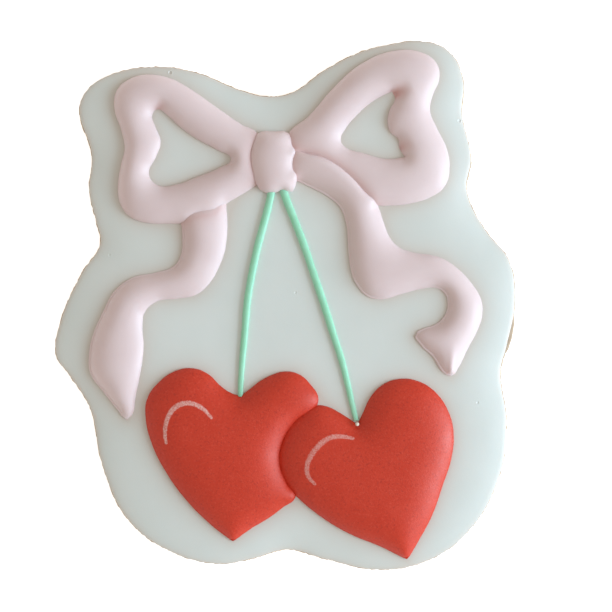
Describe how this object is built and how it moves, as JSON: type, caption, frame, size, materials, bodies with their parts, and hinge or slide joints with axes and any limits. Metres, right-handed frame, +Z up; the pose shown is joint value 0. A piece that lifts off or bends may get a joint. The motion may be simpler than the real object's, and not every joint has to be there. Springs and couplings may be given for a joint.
{
  "type": "iced shortbread biscuit",
  "caption": "Flat shortbread biscuit of wavy outline, flooded with white icing, with a pink icing bow, thin green stems and red hearts piped on it.",
  "frame": {"origin": "middle of the outline, on the surface that the biscuit lies on", "axes": "+X to the right and +Y to the top of the iced picture, +Z up through the icing"},
  "size_m": [0.0876, 0.1007, 0.0113],
  "materials": {
    "biscuit": "dry sandy baked crumb, matte",
    "white_icing": "set royal icing, satin",
    "pink_icing": "set royal icing, satin",
    "green_icing": "piped royal icing, satin",
    "red_icing": "set royal icing, finely crystalline and matte"
  },
  "bodies": {
    "root": {"biscuit": "biscuit", "white_icing": "white_icing", "knot": "pink_icing", "left_loop": "pink_icing", "right_loop": "pink_icing", "left_tail": "pink_icing", "right_tail": "pink_icing", "left_stem": "green_icing", "right_stem": "green_icing", "left_heart": "red_icing", "right_heart": "red_icing"}
  },
  "joints": []
}
